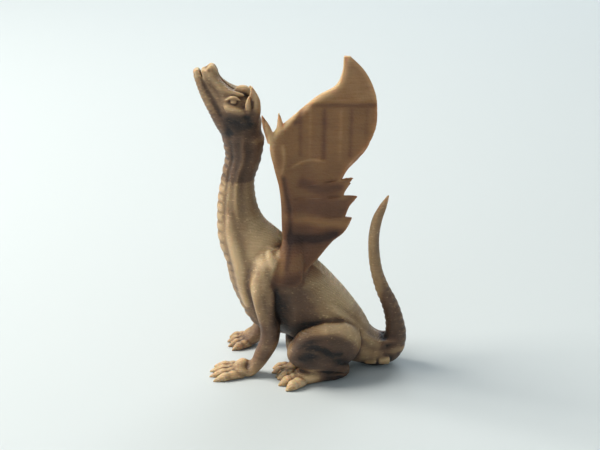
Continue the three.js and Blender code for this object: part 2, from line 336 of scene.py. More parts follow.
def melt(skin, blend):
    """Joins a skin to the figure. The smaller of the two distances is kept, less a round that fills
    the corner between them where they differ by less than blend."""
    where, block = distances(skin)
    old = figure[where]
    round_off = np.clip(blend - np.abs(old - block), 0, None) ** 2 / (4 * blend)
    figure[where] = np.minimum(old, block) - round_off


def carve(skin, blend):
    """Takes a skin's inside away from the figure, with its rim rounded in the same way."""
    where, block = distances(skin)
    old = figure[where]
    round_off = np.clip(blend - np.abs(old + block), 0, None) ** 2 / (4 * blend)
    figure[where] = np.maximum(old, -block) + round_off


def hump(value, centre, width):
    """A smooth bell that is 1 at the centre and about a third one width away."""
    return np.exp(-(((value - centre) / width) ** 2))


def fade(value, start, end):
    """0 before start, 1 after end, and a smooth rise between them; start may be the larger."""
    share = np.clip((value - start) / (end - start), 0, 1)
    return share * share * (3 - 2 * share)


def from_belly(turn):
    """How far round from the belly line a turn is, 0 there and pi at the spine."""
    return np.abs((turn - BELLY_TURN + math.pi) % (2 * math.pi) - math.pi)


def plates(length, pitch):
    """A row of rounded plates with a narrow groove between them, from 0 to 1."""
    return np.abs(np.sin(math.pi * length / pitch)) ** 0.55


def trunk_relief(length, turn):
    """Belly plates down the throat, a groove beside them, one cord and one hollow down each side of the
    neck, and low knobs on the spine."""
    side = from_belly(turn)
    rise = TRUNK_PLATE_RISE * (plates(length, TRUNK_PLATE_MM) - PLATE_LEVEL)
    rise = rise * fade(side, 0.85, 0.55) * fade(length, 84, 60)
    for middle, width, height, gone, full in TRUNK_BANDS:
        rise = rise + height * hump(side, middle, width) * fade(length, gone, full)
    knobs = 0.5 + 0.5 * np.sin(2 * math.pi * length / SPINE_KNOB_MM)
    return rise + SPINE_KNOB_RISE * knobs * hump(side, math.pi, 0.14) * fade(length, 4, 10)


def breast_relief(length, turn):
    """The belly plates go on down the breast and get broader."""
    side = from_belly(turn)
    rise = BREAST_PLATE_RISE * (plates(length, BREAST_PLATE_MM) - PLATE_LEVEL)
    return rise * fade(side, 0.9, 0.6) * fade(length, 46, 36)


def tail_relief(length, turn):
    """Plates on the outer side of the tail and low knobs on the inner side, both dying out towards the
    tip."""
    side = from_belly(turn)
    size = fade(length, 78, 40) * fade(length, 6, 12)
    outer = TAIL_PLATE_RISE * (plates(length, TAIL_PLATE_MM) - PLATE_LEVEL)
    outer = outer * fade(side, 1.2, 0.8) + 0.12
    knobs = TAIL_KNOB_RISE * np.sin(2 * math.pi * length / TAIL_KNOB_MM)
    inner = knobs * hump(side, math.pi, 0.4)
    return (outer + inner) * size


melt(limb(TRUNK, 160, 24, trunk_relief), 1.0)
melt(limb(BREAST, 96, 20, breast_relief), 3.0)
melt(limb(TAIL, 48, 20, tail_relief), 3.0)


def both_sides(stations):
    """A list of stations and the same stations mirrored to the far side."""
    return [stations, [(x, -y, *rest) for x, y, *rest in stations]]


def roll(points, radius, blunt=0.6):
    """A round roll along a smooth path. Its radius is the full one times a power of a half sine, so
    that it thins to nothing at both ends."""
    path = smooth_path(points, 8)
    share = np.linspace(0, 1, len(path))
    girth = radius * np.maximum(np.sin(math.pi * share), 0) ** blunt + 0.06
    return limb(np.column_stack([path, girth, girth]), 20, 2)


# A cord of muscle runs from each side of the neck down the breast, and an edge along the back to the
# tail. Lines like these are x, y and z of points that a roll runs through, in mm.
BREAST_CORD = [
    (-31.6, -6, 78),
    (-30.6, -7.6, 68),
    (-27.6, -9.7, 56),
    (-26, -9.8, 47),
    (-24.4, -8.6, 35),
]
BACK_EDGE = [
    (12, -11.6, 37),
    (21, -11, 29),
    (28.5, -8.4, 19.5),
    (36, -5.8, 13.6),
    (44, -4.6, 14.8),
]
for line in both_sides(BREAST_CORD):
    melt(roll(line, 2.4), 3.2)
for line in both_sides(BACK_EDGE):
    melt(roll(line, 1.5), 2.6)
# Two square plates stand under the root of the tail on each side. Each is a short block with its ends
# rounded off: the run from its middle, half its depth and half its width.
TAIL_PLATE_STEPS = [(-2.7, 1.4, 1.2), (-2.1, 2.2, 2), (2.1, 2.2, 2), (2.7, 1.4, 1.2)]
TAIL_PLATE_OUT = 6
for plate_x, plate_z in ((33, 5.6), (39.4, 5.4)):
    for plate_y in (-TAIL_PLATE_OUT, TAIL_PLATE_OUT):
        plate = [(plate_x + run, plate_y, plate_z, *half) for run, *half in TAIL_PLATE_STEPS]
        melt(limb(plate, 24, 8), 0.6)

# ---------- Head ----------
# The head is part of the same print, thrown back with its snout to the sky, and the mouth is a narrow
# slit. Brow ridges, eyes, cheeks, ears and spikes are small soft forms on it.
SKULL = [
    (-22, 0, 112, 4, 4),
    (-24.5, 0, 117, 8.4, 7.6),
    (-27.3, 0, 123.5, 8.8, 8.6),
    (-30.2, 0, 129.5, 6.6, 7.6),
    (-33.6, 0, 134, 4.3, 5.6),
    (-36.9, 0, 138.8, 3.2, 4.3),
    (-39.2, 0, 142.4, 3.4, 3.9),
    (-40.5, 0, 144.8, 2.4, 3),
]
LOWER_JAW = [
    (-28, 0, 113, 4, 4),
    (-32.5, 0, 119, 4.2, 6.2),
    (-37, 0, 126, 3.3, 5),
    (-41.2, 0, 134, 2.7, 4),
    (-44.3, 0, 141.6, 2, 3.2),
    (-45.3, 0, 144.4, 1.2, 2.4),
]
NEAR_EAR = [
    (-22, -5, 120, 2.5, 1.6),
    (-20.4, -6.8, 126, 3.2, 1.5),
    (-19.8, -7.4, 132, 2.6, 1.1),
    (-21, -7, 138.5, 0.4, 0.4),
]
FAR_EAR = [
    (-22, 5, 118, 2.5, 1.6),
    (-20.8, 6.8, 123, 3.2, 1.5),
    (-21.4, 7.4, 128.5, 2.4, 1.1),
    (-23.8, 6.8, 133.8, 0.4, 0.4),
]


JAW_KNOB_MM, JAW_KNOB_RISE = 1.9, 0.6
LOWER_EDGE_TURN = math.pi / 2


def jaw_relief(length, turn):
    """Small knobs of scale along the lower edge of the jaw."""
    knobs = JAW_KNOB_RISE * (plates(length, JAW_KNOB_MM) - 0.5)
    return knobs * hump(turn, LOWER_EDGE_TURN, 1.1)


melt(limb(SKULL, 64, 14), 4.0)
melt(limb(LOWER_JAW, 48, 14, jaw_relief), 1.2)
# The closed lips fill the space between the jaws as far as the narrow gap at the tip.
LIPS = [
    (-33, 0, 127, 3, 5.6),
    (-38, 0, 135, 2.8, 4.4),
    (-41.2, 0, 140.6, 2.6, 3.7),
    (-42.8, 0, 144, 1.5, 2.8),
]
melt(limb(LIPS, 40, 12), 1.6)
# Each ear is hollowed a little in front, on the side away from the head.
EAR_HOLLOW_FORWARD = 1.4
EAR_HOLLOW_OUT = 1.14
EAR_HOLLOW_DEPTH = 0.42
EAR_HOLLOW_HALF_WIDTH = 0.5
for ear in (NEAR_EAR, FAR_EAR):
    melt(limb(ear, 28, 10), 0.8)
    hollow = [
        (
            x - EAR_HOLLOW_FORWARD,
            y * EAR_HOLLOW_OUT,
            z,
            EAR_HOLLOW_DEPTH * half_depth,
            EAR_HOLLOW_HALF_WIDTH,
        )
        for x, y, z, half_depth, _ in ear[1:3]
    ]
    carve(limb(hollow, 16, 10), 0.8)
BROW = [
    (-40.4, -2, 144.6),
    (-37.6, -3, 140.4),
    (-34, -3.9, 137),
    (-30, -4.6, 134.8),
    (-24, -4.6, 133.6),
]
NOSE_GROOVE = [
    (-38.2, 0, 144.6),
    (-35.4, 0, 141),
    (-31.6, 0, 137.4),
    (-27.6, 0, 134.6),
    (-24, 0, 132.6),
]
CROWN = [(-28.6, 0, 132.6), (-26.4, 0, 134.6), (-23.4, 0, 134.4), (-20, 0, 130.6)]
CHEEK = [(-32.4, -7, 128.8), (-28.4, -7.9, 127.6), (-24.4, -7.9, 127), (-20.6, -6.8, 127.6)]
THROAT_HOLLOW = [
    (-34.4, -8.4, 124.4),
    (-29.6, -10.2, 121.6),
    (-24.4, -10.6, 120),
    (-18.5, -9.2, 120),
]
EYE_SOCKET = [(-31.4, -7.2, 131.6), (-28.8, -7.9, 131.6), (-26.2, -7.6, 131.2)]
EYE = [(-30.2, -6.6, 131.4), (-28.8, -6.9, 131.5), (-27.4, -6.8, 131.3)]
EYELID = [(-32, -6.2, 131.8), (-30, -7.2, 133.3), (-28, -7.5, 133.4), (-25.4, -7.2, 131.6)]
LIP_LINE = [
    (-43.2, -3.2, 142),
    (-41.2, -4.2, 137.4),
    (-38.8, -4.9, 133.4),
    (-36, -5.9, 130.2),
    (-33, -7, 128),
]
CHEEK_SPIKE = [(-22.6, -7.2, 125), (-22.6, -8, 128), (-22.5, -8.5, 131), (-22, -8.7, 134.8)]
NOSE = [(-40, -1.3, 145.6), (-38, -1.5, 145.2), (-36.4, -1.6, 142.4)]
NOSTRIL = [(-39.8, -3, 145.6), (-39.4, -3.4, 144.6), (-38.8, -3.6, 143.6)]
for line in both_sides(BROW):
    melt(roll(line, 1.35, 0.35), 1.6)
for line in both_sides(CHEEK):
    melt(roll(line, 1.1), 2.4)
for line in both_sides(CHEEK_SPIKE):
    melt(roll(line, 1.25, 0.8), 0.8)
carve(roll(NOSE_GROOVE, 1.1), 1.2)
melt(roll(CROWN, 2.2), 1.6)
for line in both_sides(THROAT_HOLLOW):
    carve(roll(line, 3.0), 2.6)
for line in both_sides(EYE_SOCKET):
    carve(roll(line, 1.3), 0.9)
for line in both_sides(EYE):
    melt(roll(line, 1.15, 0.4), 0.4)
for line in both_sides(EYELID):
    melt(roll(line, 0.65), 1.2)
for line in both_sides(LIP_LINE):
    carve(roll(line, 0.55), 0.7)
# The gap between the jaws runs right through from side to side, and narrows inwards to nothing.
MOUTH_GAP = [(-45.2, 0, 149), (-43.9, 0, 145.6), (-43, 0, 143), (-42.2, 0, 141)]
GAP_HALF_HEIGHTS = (0.6, 0.15)
GAP_HALF_WIDTH = 6.0
gap_line = smooth_path(MOUTH_GAP, 8)
half_height = np.linspace(*GAP_HALF_HEIGHTS, len(gap_line))
half_width = np.full(len(gap_line), GAP_HALF_WIDTH)
carve(limb(np.column_stack([gap_line, half_height, half_width]), 48, 2), 0.4)
for line in both_sides(NOSE):
    melt(roll(line, 1.1), 1.4)
for line in both_sides(NOSTRIL):
    carve(roll(line, 0.32), 0.4)

# ---------- Legs and paws ----------
# Four legs of the same plastic, printed with the body. The forelegs stand straight, the hind legs are
# folded under the haunches, and all four feet lie flat, with long knuckled toes and blunt claws.
NEAR_FORELEG = [
    (-13, -8, 62, 3, 3),
    (-14.8, -12, 56, 5.6, 4.6),
    (-17, -14.2, 48, 5.5, 4.8),
    (-15.8, -15.3, 37, 4.8, 4.5),
    (-13.6, -15.5, 27, 4.6, 4.3),
    (-14.2, -14.8, 19.5, 4.3, 4),
    (-17, -13.2, 12.6, 3.9, 3.7),
    (-19.8, -12.3, 7, 3.2, 3.7),
    (-23.4, -11.8, 3.2, 2.8, 4.4),
    (-28, -11.4, 3.4, 3.2, 5.4),
    (-32, -11.2, 2.2, 1.8, 3.4),
]
FAR_FORELEG = [
    (-13, 8, 62, 3, 3),
    (-14.8, 12, 56, 5.6, 4.6),
    (-17, 14.8, 48, 5.5, 4.8),
    (-15.8, 17, 37, 4.8, 4.5),
    (-13.6, 18, 27, 4.6, 4.3),
    (-14.2, 18.6, 19.5, 4.3, 4),
    (-17.8, 19, 12, 4.1, 3.8),
    (-21.2, 19.4, 6.4, 4, 4.2),
    (-25, 20, 3.4, 3.2, 5.2),
    (-28.5, 20.4, 2.2, 1.8, 3),
]
NEAR_HIND_LEG = [
    (25, -9, 18, 7, 5),
    (19.6, -13.6, 18, 10.6, 7.5),
    (11, -17, 18.8, 10.8, 7.4),
    (3.2, -19, 19, 7.8, 6.4),
    (-0.8, -20, 15.6, 5.2, 5.4),
    (4.5, -19.6, 11.4, 4.6, 4.8),
    (12, -18, 9, 4.6, 4.6),
    (18.5, -16.5, 7, 4.2, 4.2),
    (21, -15.5, 4.2, 2.6, 3),
]
FAR_HIND_LEG = [
    (25, 9, 18, 7, 5),
    (19.6, 13.6, 18, 10.6, 7.5),
    (11, 15.5, 18.8, 10.8, 7.4),
    (4, 12, 19, 7.6, 6.4),
    (-0.5, 6, 18, 5.4, 5.4),
    (-2.4, -1.5, 13, 4.4, 4.6),
    (-1.2, -6.5, 7.2, 3.8, 4),
    (0.5, -8.5, 4, 2.6, 3),
]
NEAR_HIND_FOOT = [
    (20.5, -15, 4, 2.6, 2.6),
    (15.5, -15.6, 4.2, 4.2, 4),
    (8.5, -17.2, 4.4, 4.4, 4.6),
    (1.5, -19, 3.8, 3.8, 5.4),
    (-3, -20, 2.4, 2.2, 3.6),
]
FAR_HIND_FOOT = [
    (4.5, -8, 3.2, 2.4, 2.4),
    (0.5, -8.6, 3.4, 3.4, 3.6),
    (-3.5, -9.4, 3, 2.8, 4),
    (-6.5, -10, 2, 1.8, 2.6),
]
for leg in (NEAR_FORELEG, FAR_FORELEG):
    melt(limb(leg, 48, 12), 2.4)
for leg in (NEAR_HIND_LEG, FAR_HIND_LEG):
    melt(limb(leg, 64, 14), 1.0)
for foot in (NEAR_HIND_FOOT, FAR_HIND_FOOT):
    melt(limb(foot, 40, 10), 1.4)
# Each paw is its root's x and y, its heading and spread in degrees, the number of toes, their length
# and radius, and half the width of the paw.
PAWS = [
    (-28.6, -11.3, 2, 30, 4, 14, 2.1, 4.2),
    (-26, 20.2, 8, 40, 4, 9.6, 2.1, 4.2),
    (-0.6, -19.8, 20, 30, 3, 10, 2.5, 3.8),
    (-5, -9.4, 10, 24, 3, 8.6, 1.9, 2.9),
]
OUTER_TOE_SHORTER = 0.12
# A toe's stations: the share of its length, the height of its middle and its radius, in toe radii.
TOE = np.array(
    [
        (-0.2, 0.9, 0.7),
        (0.04, 1.15, 0.98),
        (0.22, 1.25, 1.06),
        (0.38, 1.08, 0.96),
        (0.54, 1.06, 1.02),
        (0.68, 0.86, 0.84),
        (0.79, 0.68, 0.66),
        (0.87, 0.56, 0.46),
        (0.94, 0.44, 0.3),
        (1.0, 0.3, 0.12),
    ]
)


def toe(x, y, heading, length, radius):
    """Stations along a heading on the floor, whose radius swells at two knuckles and thins to a
    claw."""
    share, height, girth = TOE.T
    turn = math.radians(heading)
    return np.stack(
        [
            x - math.cos(turn) * length * share,
            y - math.sin(turn) * length * share,
            radius * height,
            radius * girth,
            radius * girth,
        ],
        axis=1,
    )


for x, y, heading, spread, toes, length, radius, half_width in PAWS:
    for share in np.linspace(-1, 1, toes):
        turn = math.radians(heading)
        toe_x = x + math.sin(turn) * share * half_width
        toe_y = y - math.cos(turn) * share * half_width
        toe_length = length * (1 - OUTER_TOE_SHORTER * share * share)
        toe_heading = heading + spread / 2 * share
        melt(limb(toe(toe_x, toe_y, toe_heading, toe_length, radius), 24, 8), 0.5)

# Long muscles and the knuckles of the wrist stand up from each foreleg: a line and a radius for each.
NEAR_MUSCLES = [
    ([(-14, -12.6, 63), (-13, -14.2, 60), (-12.2, -15.2, 56), (-12.4, -15.6, 51)], 1.5),
    ([(-19, -15.5, 53), (-19, -17, 45), (-17.4, -17.8, 36), (-15, -17.8, 27)], 1.7),
    ([(-14, -17, 47), (-13, -17.8, 40), (-12, -17.6, 31)], 1.6),
    ([(-15, -16.8, 24), (-16, -16.2, 17), (-19.4, -14.4, 9)], 1.5),
    ([(-23.6, -11.6, 6.6), (-26.6, -11.5, 6.9), (-30, -11.4, 5.2)], 1.9),
]
FAR_MUSCLES = [
    ([(-14, 12.6, 61), (-13, 14.2, 58), (-12.2, 15.2, 54), (-12.4, 15.6, 49)], 1.5),
    ([(-19, 16, 53), (-19, 17.8, 45), (-17.4, 19.4, 36), (-15, 20.4, 27)], 1.7),
    ([(-14, 17.6, 47), (-13, 19.2, 40), (-12, 20, 31)], 1.6),
    ([(-15, 20.8, 24), (-16.2, 21.4, 17), (-20, 21.8, 9)], 1.5),
    ([(-22, 19.8, 6.4), (-24.6, 20, 6.6), (-27.6, 20.2, 4.8)], 1.8),
]
for line, radius in NEAR_MUSCLES + FAR_MUSCLES:
    melt(roll(line, radius), 2.2)
# The flank is hollowed behind each foreleg.
ARMPIT = [(-7, -18.5, 44), (-7.6, -19.4, 38), (-6.8, -19.6, 30), (-4.4, -18, 23)]
for line in both_sides(ARMPIT):
    carve(roll(line, 3.4), 3.2)
# The near shank swells under the thigh, with a crease above it and another one over the foot.
SHANK_MUSCLE = [(-1, -23, 14.6), (5, -23.6, 13.8), (11, -22.6, 12), (18, -20, 9.4)]
THIGH_CREASE = [
    (3, -26.6, 20.4),
    (7, -25.9, 20.6),
    (11, -25.1, 19),
    (15, -24, 16.6),
    (19, -22.6, 16),
]
SHANK_CREASE = [(7, -23.4, 8), (11, -22.2, 7.2), (15, -20.8, 6.4), (21, -18.4, 5.6)]
melt(roll(SHANK_MUSCLE, 2.3), 3.2)
carve(roll(THIGH_CREASE, 1.1), 2.0)
carve(roll(SHANK_CREASE, 0.9), 1.4)

# ---------- Wings ----------
# Two raised wings, each a thin fin of the same plastic with a thicker arm along its leading edge,
# two claws at the wrist, three spikes behind, and shallow folds across its skin. Points are x and z.
WING_LEADING = [
    (-9.1, 45),
    (-8.2, 56.5),
    (-7.9, 66),
    (-8.2, 77),
    (-8.5, 86.5),
    (-9.4, 94),
    (-11.4, 102.5),
    (-13.2, 112.5),
    (-11.6, 119),
    (-7.2, 123),
    (-0.4, 129),
    (7.8, 136),
    (15.4, 140.6),
    (18, 146.5),
    (18.6, 153.5),
]
# The trailing edge is four runs of points. Each meets a range of shares of the leading edge.
WING_TRAILING = [
    (0, 0.235, [(-2.2, 45), (2.2, 52), (7.6, 58), (14.6, 67), (19.6, 71.4), (23.4, 78.8)]),
    (0.237, 0.295, [(20, 78.8), (22.2, 84.4), (25.8, 89.2)]),
    (0.297, 0.34, [(19.2, 89.2), (20.8, 93.4), (23.7, 98)]),
    (
        0.342,
        1,
        [
            (17.8, 96.6),
            (21.6, 104.2),
            (26.8, 110),
            (31.4, 116.4),
            (33.4, 125),
            (32.4, 137),
            (27.6, 147),
            (21.4, 153.5),
        ],
    ),
]
WRIST_CLAWS = [
    [(-12.2, 114.6, 2), (-14.6, 121.6, 1.6), (-16.6, 127, 0.3)],
    [(-8.8, 118, 1.9), (-8.7, 123.6, 1.2), (-9.2, 128, 0.3)],
]
# Each wing's side, outward lean, scale, shift in x and shift in z. The far one is smaller and lower.
NEAR_LEAN = 0.04
WING_PLACES = [(-1, NEAR_LEAN, 1, 0, 0), (1, -0.02, 0.95, 1.2, -6.8)]
WING_OUT = 9
WING_ROOT_X, WING_ROOT_Z = -5, 50
# Half the thickness of the fin, what the arm and the root add to it, and the height of its pleats.
FIN_HALF = 0.9
ARM_HALF = 1.0
ROOT_HALF = 1.7
PLEAT_HEIGHT = 0.7
SPAN_STEPS = 200
# Folds of the skin: the points of each in x and z, its half width in mm and how far it stands out.
FOLDS = [
    ([(-7, 98), (-6, 91.6), (-4.5, 83), (-4.6, 67), (-6, 56)], 0.9, -0.45),
    ([(-7.6, 100.9), (-6.9, 107), (-7.4, 113)], 0.9, 0.3),
    ([(-3.1, 103.6), (4, 106.6), (10.7, 106.5)], 0.7, 0.35),
    ([(-2, 124), (2.7, 131.2), (14, 131.8), (32.2, 131.8)], 1.0, -0.4),
    ([(0.4, 129), (0.2, 109)], 0.9, -0.25),
    ([(4.5, 129.6), (4.3, 108.5)], 0.8, 0.15),
    ([(10.7, 129.6), (10.5, 107.5)], 1.0, -0.3),
    ([(17.9, 129.6), (17.4, 107)], 0.9, 0.15),
    ([(22.4, 129.6), (22, 108.5)], 0.9, -0.25),
    ([(29.1, 129.6), (28.6, 113)], 0.8, -0.15),
    ([(1.3, 95.6), (8, 93), (17, 93.6)], 2.0, -0.4),
    ([(-4, 79.5), (8, 77.6), (22.4, 76)], 2.4, 0.85),
    ([(-4, 69.2), (6, 68.6), (15.5, 70.6)], 2.0, -0.7),
]


def to_line(x, z, line):
    """The distance in the plane of x and z from each point to a smooth line through the points of
    line."""
    path = smooth_path(line, 10)
    start, end = path[:-1], path[1:]
    best = np.full(x.shape, 1e9)
    for (ax, az), (bx, bz) in zip(start, end):
        run, climb = bx - ax, bz - az
        share = np.clip(((x - ax) * run + (z - az) * climb) / (run * run + climb * climb), 0, 1)
        best = np.minimum(best, np.hypot(x - ax - share * run, z - az - share * climb))
    return best


def in_wing_place(x, z, offset, place):
    """A point of the wing's plane: x and z are scaled about the wing's root and shifted, and the plane
    leans outward with height."""
    side, lean, scale, shift_x, shift_z = place
    out = WING_OUT + lean * (z - WING_ROOT_Z) + offset
    wide = WING_ROOT_X + scale * (x - WING_ROOT_X) + shift_x
    high = WING_ROOT_Z + scale * (z - WING_ROOT_Z) + shift_z
    return np.stack(np.broadcast_arrays(wide, side * out, high), axis=-1)


def wing_skin(place):
    """Rows of the wing from root to tip: straight chords from the leading to the trailing edge, with
    an outer and an inner face half a thickness off the middle sheet, which is pleated. The thickness
    dies away from the arm and from the root as bells, and is drawn in at both edges."""
    columns = np.linspace(0, 1, 72)[None, :]
    leading = smooth_path(WING_LEADING, SPAN_STEPS)
    shares, fronts, rears = [], [], []
    for low, high, edge in WING_TRAILING:
        rear = smooth_path(edge, 24)
        share = np.linspace(low, high, len(rear))
        fronts.append(leading[np.round(share * (len(leading) - 1)).astype(int)])
        rears.append(rear)
        shares.append(share)
    share = np.concatenate(shares)[:, None]
    front = np.vstack(fronts)
    rear = np.vstack(rears)
    x = front[:, :1] + (rear[:, :1] - front[:, :1]) * columns
    z = front[:, 1:] + (rear[:, 1:] - front[:, 1:]) * columns
    half = FIN_HALF + ARM_HALF * hump(columns, 0, 0.12) + ROOT_HALF * np.exp(-share / 0.12)
    half = half * np.maximum(np.sqrt(np.maximum(0, 1 - (2 * columns - 1) ** 8)), 0.45)
    pleat = PLEAT_HEIGHT * np.sin(math.pi * share) * np.sin(4 * math.pi * columns)
    for line, width, height in FOLDS:
        pleat = pleat + height * hump(to_line(x, z, line), 0, width)
    outer = in_wing_place(x, z, pleat + half, place)
    inner = in_wing_place(x, z, pleat - half, place)[:, ::-1]
    rings = np.concatenate([outer, inner], axis=1)
    return closed_skin(rings if place[0] < 0 else rings[:, ::-1])


# The root of each wing spreads in a broad flat lobe over the shoulder, set back and lower on the far
# side.
FAR_ROOT_BACK = 2.6
FAR_ROOT_DOWN = 4
NEAR_ROOT = [
    (-3, -9.6, 70, 3, 1.6),
    (-3.6, -11, 64, 5, 2.6),
    (-4.8, -12.8, 58, 6.6, 3.2),
    (-6.4, -14.2, 52.6, 7.6, 2.6),
    (-7.4, -14.6, 49, 5, 1.2),
]
FAR_ROOT = [(x + FAR_ROOT_BACK, -y, z - FAR_ROOT_DOWN, *half) for x, y, z, *half in NEAR_ROOT[1:]]
for lobe in (NEAR_ROOT, FAR_ROOT):
    melt(limb(lobe, 48, 12), 3.0)
for place in WING_PLACES:
    melt(wing_skin(place), 1.8)
    for claw in WRIST_CLAWS:
        x, z, radius = np.array(claw).T
        point = in_wing_place(x, z, 0, place)
        melt(limb(np.column_stack([point, radius, radius]), 20, 10), 0.8)

# ---------- The printed figure ----------
# The melted figure is cut flat where it was stuck to the printer's bed, and its grid is turned into one
# closed skin. CORNER is the place in these millimetres that stands at the part's own origin.
SOLE_CUT = 0.6
MOST_TRIANGLES = 190000
SMALLEST_EDGE = 0.00002
CORNER = np.array([1.6506, -0.6994, SOLE_CUT])
heights = GRID_LOW[2] + GRID_MM * np.arange(GRID_SHAPE[2])
figure = np.maximum(figure, (SOLE_CUT - heights)[None, None, :].astype(np.float32))
melted = openvdb.FloatGrid(background=BAND_MM)
melted.copyFromArray(np.clip(figure, -BAND_MM, BAND_MM), tolerance=0.0)
melted.transform = openvdb.createLinearTransform(GRID_MM)
melted.gridClass = openvdb.GridClass.LEVEL_SET
points, _, quads = melted.convertToPolygons(isovalue=0.0, adaptivity=0.0)
points = (points + GRID_LOW - CORNER) / 1000
mesh = bpy.data.meshes.new("printed_dragon")
mesh.from_pydata(points, [], quads[:, ::-1])
dragon = bpy.data.objects.new("printed_dragon", mesh)
bpy.context.scene.collection.objects.link(dragon)
thinner = dragon.modifiers.new("fewer_faces", "DECIMATE")
thinner.ratio = min(1.0, MOST_TRIANGLES / (2 * len(quads)))
seen = bpy.context.evaluated_depsgraph_get()
mesh = bpy.data.meshes.new_from_object(dragon.evaluated_get(seen))
dragon.modifiers.clear()
dragon.data = mesh
mesh.name = "printed_dragon"
# Specks of faces that the thinning left, smaller than a nozzle could lay, are closed up, and points
# that belong to no face are taken out.
whole = bmesh.new()
whole.from_mesh(mesh)
bmesh.ops.dissolve_degenerate(whole, dist=SMALLEST_EDGE, edges=whole.edges)
bmesh.ops.triangulate(whole, faces=whole.faces)
loose = [point for point in whole.verts if not point.link_faces]
bmesh.ops.delete(whole, geom=loose, context="VERTS")
whole.to_mesh(mesh)
whole.free()
mesh.shade_smooth()

# The tone of the plastic at each point, from 0 dark to 1 pale, with painted light and shade in it. It
# is painted paler where the plastic stands up from an evened-out skin, painted darker in hollows as
# painted shade, and painted paler on upward faces and darker on downward ones.
MIDDLE_TONE = 0.5
EVENING_ROUNDS = 14
EVENING_PULL = 0.7
PROBE_MM = 3.2
PROBE_CELLS = 7
count = len(mesh.vertices)
place = np.empty(count * 3, np.float32)
mesh.vertices.foreach_get("co", place)
place = place.reshape(-1, 3).astype(float) * 1000 + CORNER
normal = np.empty(count * 3, np.float32)
mesh.vertices.foreach_get("normal", normal)
normal = normal.reshape(-1, 3)
edge = np.empty(len(mesh.edges) * 2, np.int32)
mesh.edges.foreach_get("vertices", edge)
edge = edge.reshape(-1, 2)
near_count = np.bincount(edge.ravel(), minlength=count)[:, None]
evened = place.copy()
for _ in range(EVENING_ROUNDS):
    total = np.stack(
        [
            np.bincount(edge[:, 0], evened[edge[:, 1], k], count)
            + np.bincount(edge[:, 1], evened[edge[:, 0], k], count)
            for k in range(3)
        ],
        axis=1,
    )
    evened = (1 - EVENING_PULL) * evened + EVENING_PULL * total / near_count
standing_out_for_painted_light = ((place - evened) * normal).sum(axis=1)


def crowding(point):
    """How full of plastic the space round each point is, 0 to 1: the solid cells of the grid are
    averaged over cubes, twice along each axis."""
    solid = (figure < 0).astype(np.float32)
    reach = PROBE_CELLS
    for _ in range(2):
        for axis in range(3):
            total = np.cumsum(solid, axis=axis)
            ahead, behind = np.roll(total, -reach, axis=axis), np.roll(total, reach, axis=axis)
            solid = (ahead - behind) / (2 * reach)
    cell = np.round((point - GRID_LOW) / GRID_MM).astype(int)
    cell = np.clip(cell, 2 * reach, np.array(GRID_SHAPE) - 2 * reach - 1)
    return solid[cell[:, 0], cell[:, 1], cell[:, 2]]


hollowness_for_painted_shade = crowding(place + PROBE_MM * normal)
x, y, z = place.T
out = np.abs(y)
# How far each point belongs to a wing's fin: behind the arm's front edge, near the fin's plane.
ARM_FRONT_Z = [45, 52, 62, 80, 94, 112, 119]
ARM_FRONT_X = [-9.8, -8.9, -8.6, -8.9, -10.2, -14.6, -18]
FIN_MIDDLE = 10.5
off_fin = np.abs(out - FIN_MIDDLE - NEAR_LEAN * (z - WING_ROOT_Z))
behind_arm = x - np.interp(z, ARM_FRONT_Z, ARM_FRONT_X)
on_wing = fade(z, 46, 56) * fade(behind_arm, -1.2, 0.2) * fade(off_fin, 6.5, 4.5) * (out > 5)
# The lobe at each wing's root has the wing's tone too, down to its lower edge.
LOBE_FRONT_Z = [44, 48, 56, 62]
LOBE_FRONT_X = [-12.6, -13.6, -12, -9.6]
root_x = x - FAR_ROOT_BACK * (y > 0)
root_z = z + FAR_ROOT_DOWN * (y > 0)
on_root = fade(root_z, 45.5, 49) * fade(root_z, 66, 60) * fade(out, 11, 13)
on_root = on_root * fade(root_x - np.interp(root_z, LOBE_FRONT_Z, LOBE_FRONT_X), -0.6, 1.6)
on_root = on_root * fade(root_x, 3.4, 0)
on_wing = np.maximum(on_wing, on_root)
on_body = 1 - on_wing
tone_and_painted_light = np.full(count, MIDDLE_TONE)
# Painted light and shade: paler where the skin stands out, darker in crowded hollows, paler on top and
# darker underneath.
tone_and_painted_light += on_body * np.clip(0.8 * standing_out_for_painted_light, -0.2, 0.22)
tone_and_painted_light -= on_body * 1.1 * np.clip(hollowness_for_painted_shade - 0.15, 0, 0.5)
tone_and_painted_light += on_body * 0.1 * (normal[:, 2] - np.clip(-normal[:, 2], 0, 1))

# Parts of the body painted paler or darker. A band of the neck is darker, with a sharp lower edge; the
# breast, shoulders and rump are painted paler as painted light. Each is a share from 0 to 1, bounded by
# fades along x, z and out from the middle, in mm.
neck_band = fade(z, 93.2, 94) * fade(z, 128, 122) * (x < -14.8)
breast = fade(x, -20, -26) * fade(z, 94, 93) * fade(z, 48, 60)
shoulder_painted_light = fade(x, -27, -20) * fade(x, -4, -10) * fade(z, 54, 60) * fade(z, 80, 72)
upper_foreleg_painted_shade = fade(x, -21, -17) * fade(x, -8, -11) * fade(z, 50, 44) * fade(z, 24, 28)
armpit_painted_shade = fade(x, -15, -11) * fade(x, 13, 0) * fade(z, 49, 42) * fade(z, 18, 24)
rump_painted_light = fade(x, 6, 16) * fade(x, 37, 31) * fade(z, 29, 35)
tail_top_painted_shade = fade(x, 30, 33) * fade(z, 44, 52)
